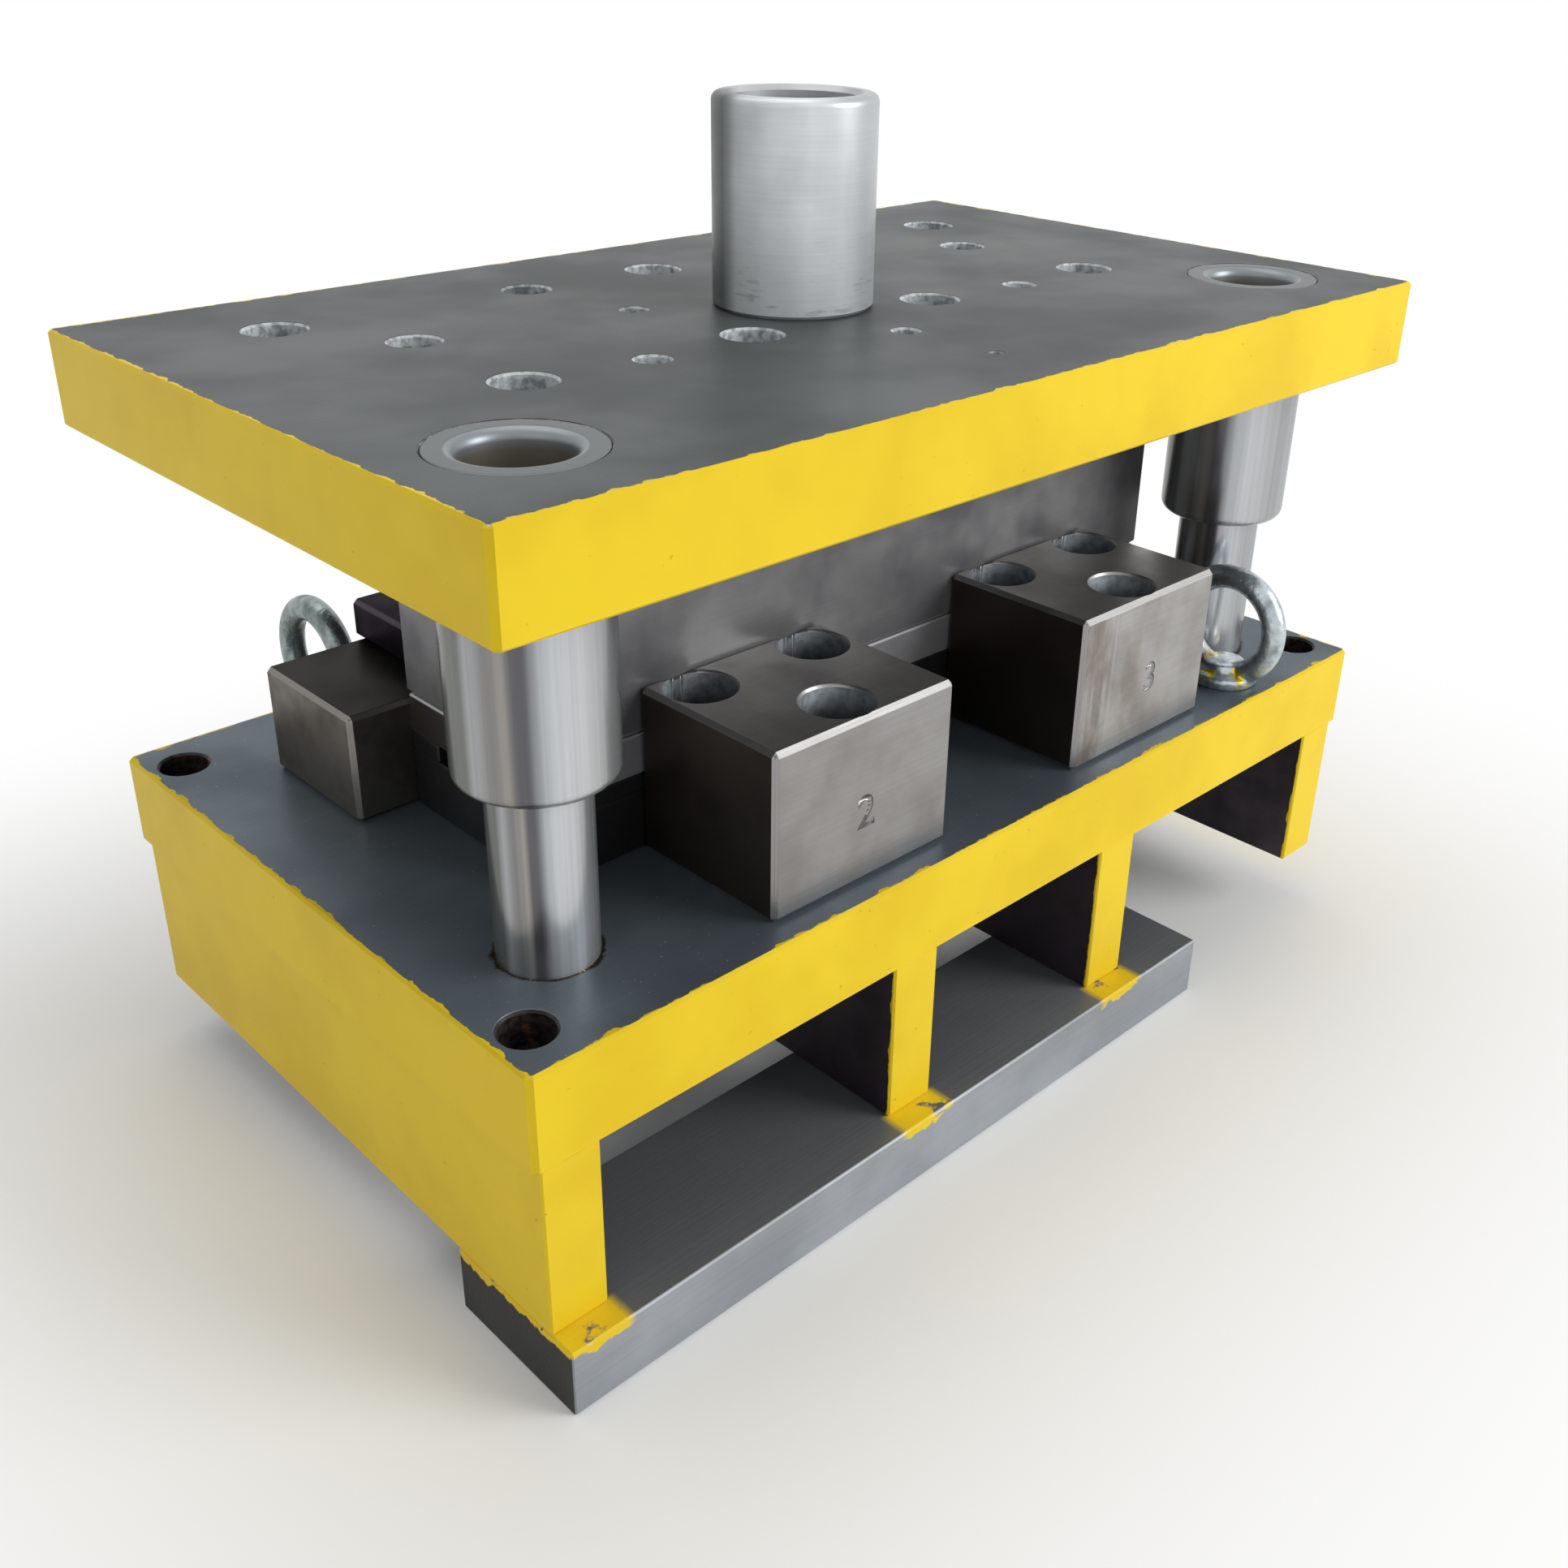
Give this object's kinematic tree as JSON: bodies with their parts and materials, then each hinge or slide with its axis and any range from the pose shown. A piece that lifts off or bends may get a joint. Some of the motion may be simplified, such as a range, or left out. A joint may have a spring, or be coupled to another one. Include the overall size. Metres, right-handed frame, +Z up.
{
  "type": "progressive stamping die",
  "caption": "Progressive stamping die: pillar die set with shank, punch block, heel blocks, risers and eye bolts.",
  "frame": {"origin": "floor centre, under the middle of the die set", "axes": "+Z up, +X along the strip to the right, +Y from the front heel blocks to the rear"},
  "size_m": [0.375, 0.235, 0.306],
  "materials": {
    "painted_shoe": "yellow enamel on the edges, ground steel faces",
    "painted_riser": "yellow enamel outside, bare dark steel inside",
    "mill_scale_steel": "milled grey steel, satin",
    "ground_pillar_steel": "ground and polished",
    "turned_steel": "turned, satin",
    "ground_block_steel": "surface ground, satin",
    "heel_block_steel": "milled tool steel, hazed with old oil",
    "stained_steel": "heat stained, satin",
    "hardened_die_steel": "hardened and blackened, satin",
    "punch_steel": "ground bright",
    "black_oxide_steel": "black oxide, oiled",
    "dowel_steel": "ground bright",
    "zinc_plated_steel": "zinc plated, semi bright",
    "spring_steel": "oiled spring steel"
  },
  "bodies": {
    "lower_die": {"front_support_bar": "mill_scale_steel", "rear_support_bar": "mill_scale_steel", "riser_1": "painted_riser", "riser_2": "painted_riser", "riser_3": "painted_riser", "riser_4": "painted_riser", "bar_screws": "black_oxide_steel", "lower_shoe": "painted_shoe", "riser_screws": "black_oxide_steel", "guide_pillar_left": "ground_pillar_steel", "guide_pillar_right": "ground_pillar_steel", "eye_bolt_left": "zinc_plated_steel", "eye_bolt_right": "zinc_plated_steel", "die_plate": "hardened_die_steel", "emboss_die_button": "hardened_die_steel", "front_stock_rail": "hardened_die_steel", "rear_stock_rail": "hardened_die_steel", "stripper_plate": "ground_block_steel", "stack_screws": "black_oxide_steel", "stack_dowels": "dowel_steel", "front_heel_block_2": "heel_block_steel", "front_heel_block_3": "heel_block_steel", "front_heel_screws": "black_oxide_steel", "rear_heel_block_1": "heel_block_steel", "rear_heel_block_4": "heel_block_steel", "rear_guide_plate": "stained_steel", "guide_plate_screws": "black_oxide_steel", "lifter_spring_1": "spring_steel", "lifter_spring_2": "spring_steel", "lifter_spring_3": "spring_steel", "lifter_spring_4": "spring_steel"},
    "upper_die": {"upper_shoe": "painted_shoe", "shank": "turned_steel", "guide_bush_left": "ground_pillar_steel", "guide_bush_right": "ground_pillar_steel", "backing_plate": "ground_block_steel", "punch_block": "ground_block_steel", "piercing_punches": "punch_steel", "pilot_hole_punch": "punch_steel", "pilots": "punch_steel", "countersink_punches": "punch_steel", "emboss_punch": "punch_steel", "slot_punches": "punch_steel", "blanking_punch": "punch_steel", "blanking_punch_screw": "black_oxide_steel", "block_screws": "black_oxide_steel", "backing_plate_screws": "black_oxide_steel", "stop_post_screws": "black_oxide_steel", "upper_dowels": "dowel_steel", "stop_post_left": "ground_block_steel", "stop_post_right": "ground_block_steel"},
    "lifter_1": {"stock_lifter_1": "punch_steel"},
    "lifter_2": {"stock_lifter_2": "punch_steel"},
    "lifter_3": {"stock_lifter_3": "punch_steel"},
    "lifter_4": {"stock_lifter_4": "punch_steel"}
  },
  "joints": [
    {"name": "die_opening", "type": "slide", "parent": "lower_die", "child": "upper_die", "axis": [0, 0, 1], "range_m": [0, 0.05]},
    {"name": "lifter_travel_1", "type": "slide", "parent": "lower_die", "child": "lifter_1", "axis": [0, 0, 1], "range_m": [-0.003, 0], "stiffness_N_per_m": 800, "springref_m": 0.006, "deforming": ["lifter_spring_1"]},
    {"name": "lifter_travel_2", "type": "slide", "parent": "lower_die", "child": "lifter_2", "axis": [0, 0, 1], "range_m": [-0.003, 0], "stiffness_N_per_m": 800, "springref_m": 0.006, "deforming": ["lifter_spring_2"]},
    {"name": "lifter_travel_3", "type": "slide", "parent": "lower_die", "child": "lifter_3", "axis": [0, 0, 1], "range_m": [-0.003, 0], "stiffness_N_per_m": 800, "springref_m": 0.006, "deforming": ["lifter_spring_3"]},
    {"name": "lifter_travel_4", "type": "slide", "parent": "lower_die", "child": "lifter_4", "axis": [0, 0, 1], "range_m": [-0.003, 0], "stiffness_N_per_m": 800, "springref_m": 0.006, "deforming": ["lifter_spring_4"]}
  ]
}
